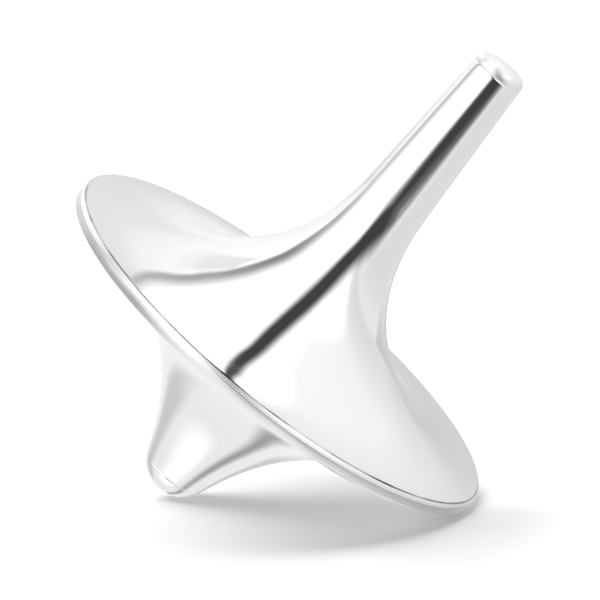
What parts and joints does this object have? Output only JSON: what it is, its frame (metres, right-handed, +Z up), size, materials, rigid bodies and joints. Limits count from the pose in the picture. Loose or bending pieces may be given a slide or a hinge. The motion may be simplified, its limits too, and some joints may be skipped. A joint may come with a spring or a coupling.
{
  "type": "spinning top",
  "caption": "Polished metal spinning top with a tapered stem, flared disc and cone nose, lying tilted on its nose and disc edge.",
  "frame": {"origin": "on the floor, under the middle of the lying top's box", "axes": "+Z up; the top's own axis lies in the XZ plane and rises from the nose at -X to the grip cap at +X; +Y runs along the disc's level diameter"},
  "size_m": [0.0266, 0.03, 0.0273],
  "materials": {
    "polished_shell": "mirror polished",
    "band_steel": "fine turned, lightly polished",
    "cap_steel": "polished",
    "tip_steel": "polished, hardened",
    "black_screw": "black oxide",
    "spring_steel": "plain"
  },
  "bodies": {
    "nose": {"nose_cone": "polished_shell", "tip_insert": "tip_steel", "lock_washer": "spring_steel"},
    "plate": {"flywheel": "band_steel"},
    "body": {"upper_body": "polished_shell", "grip_cap": "cap_steel", "centre_screw": "black_screw"}
  },
  "joints": [
    {"name": "body_unscrew", "type": "slide", "parent": "nose", "child": "body", "axis": [0.6286, 0, 0.7777], "range_m": [0, 0.016]},
    {"name": "flywheel_lift", "type": "slide", "parent": "nose", "child": "plate", "axis": [0.6286, 0, 0.7777], "range_m": [0, 0.008]}
  ],
  "couplings": [
    {"joint": "flywheel_lift", "follows": "body_unscrew", "ratio": 0.5}
  ]
}
